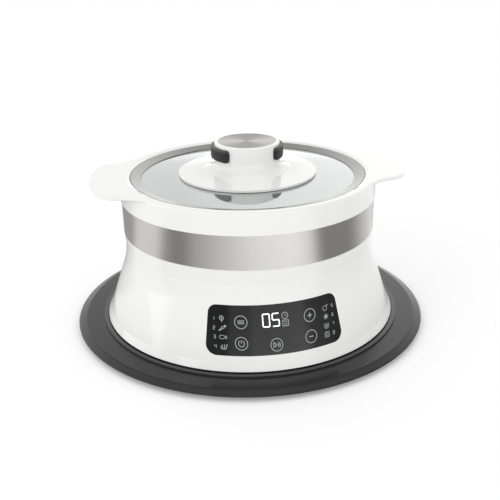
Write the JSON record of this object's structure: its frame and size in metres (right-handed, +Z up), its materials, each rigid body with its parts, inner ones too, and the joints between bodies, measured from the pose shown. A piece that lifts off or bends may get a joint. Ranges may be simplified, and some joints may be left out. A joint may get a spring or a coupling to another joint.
{
  "type": "electric food steamer",
  "caption": "Round white electric food steamer on a wide dark tray, with a steel band, a black touch panel, a bowl with two flat handles and a domed glass lid with a round knob.",
  "frame": {"origin": "on the floor under the middle of the tray", "axes": "+Z up, the control panel faces -Y, the two handles point along X"},
  "size_m": [0.3703, 0.3704, 0.1898],
  "materials": {
    "tray_plastic": "fine moulded texture",
    "rubber_black": "matte",
    "white_plastic": "gloss white moulded plastic",
    "brushed_steel": "brushed round the body",
    "dark_plastic": "matte",
    "zinc_steel": "zinc plated",
    "tub_plastic": "satin grey plastic",
    "cast_aluminium": "cast and turned",
    "silicone_grey": "satin",
    "element_steel": "heat tinted",
    "bakelite": "matte",
    "sheet_aluminium": "bright rolled",
    "board_green": "solder mask",
    "component_black": "moulded",
    "component_yellow": "moulded",
    "capacitor_blue": "sleeved",
    "lead_silicone": "satin",
    "brass": "plated",
    "panel_black": "high gloss black",
    "display_white": "smoked",
    "light_guide_clear": "frosted clear",
    "foam_black": "conductive foam",
    "stainless_bowl": "spun stainless steel",
    "lid_glass": "clear tempered glass",
    "ring_steel": "satin steel",
    "disc_steel": "spun disc",
    "grip_black": "soft touch"
  },
  "bodies": {
    "tray": {"base_tray": "tray_plastic", "tray_feet": "rubber_black"},
    "housing": {"housing_shell": "white_plastic", "trim_band": "brushed_steel", "bottom_cover": "dark_plastic", "cover_screws": "zinc_steel", "housing_feet": "rubber_black", "water_tub": "tub_plastic", "heater_plate": "cast_aluminium", "heater_gasket": "silicone_grey", "heating_element": "element_steel", "heater_clamp": "sheet_aluminium", "heater_screws": "zinc_steel", "thermostat": "bakelite", "thermal_fuse": "component_black", "temperature_sensor": "brass", "steam_ring": "tub_plastic", "heat_shield": "sheet_aluminium", "power_board": "board_green", "transformer": "component_black", "power_relay": "component_black", "filter_capacitor": "component_yellow", "board_capacitors": "capacitor_blue", "heater_leads": "lead_silicone", "mains_inlet": "dark_plastic", "inlet_pins": "brass", "panel_lens": "panel_black", "panel_tape": "foam_black", "control_board": "board_green", "display_module": "display_white", "light_guides": "light_guide_clear", "touch_pads": "foam_black", "buzzer": "component_black", "board_carrier": "tub_plastic"},
    "drip_tray": {"drip_tray": "tub_plastic"},
    "bowl": {"bowl_rim": "white_plastic", "cooking_bowl": "stainless_bowl", "bowl_seal": "silicone_grey"},
    "grid": {"steam_grid": "stainless_bowl"},
    "lid": {"lid_glass": "lid_glass", "lid_ring": "ring_steel", "lid_seal": "silicone_grey", "knob_body": "white_plastic", "knob_disc": "disc_steel", "left_grip": "grip_black", "right_grip": "grip_black", "knob_washer": "silicone_grey", "knob_retainer": "dark_plastic", "knob_screw": "zinc_steel"}
  },
  "joints": [
    {"name": "housing_lift", "type": "slide", "parent": "tray", "child": "housing", "axis": [0, 0, 1], "range_m": [0, 0.2]},
    {"name": "drip_tray_lift", "type": "slide", "parent": "housing", "child": "drip_tray", "axis": [0, 0, 1], "range_m": [0, 0.1]},
    {"name": "bowl_lift", "type": "slide", "parent": "drip_tray", "child": "bowl", "axis": [0, 0, 1], "range_m": [0, 0.12]},
    {"name": "grid_lift", "type": "slide", "parent": "bowl", "child": "grid", "axis": [0, 0, 1], "range_m": [0, 0.1]},
    {"name": "lid_lift", "type": "slide", "parent": "grid", "child": "lid", "axis": [0, 0, 1], "range_m": [0, 0.15]}
  ]
}
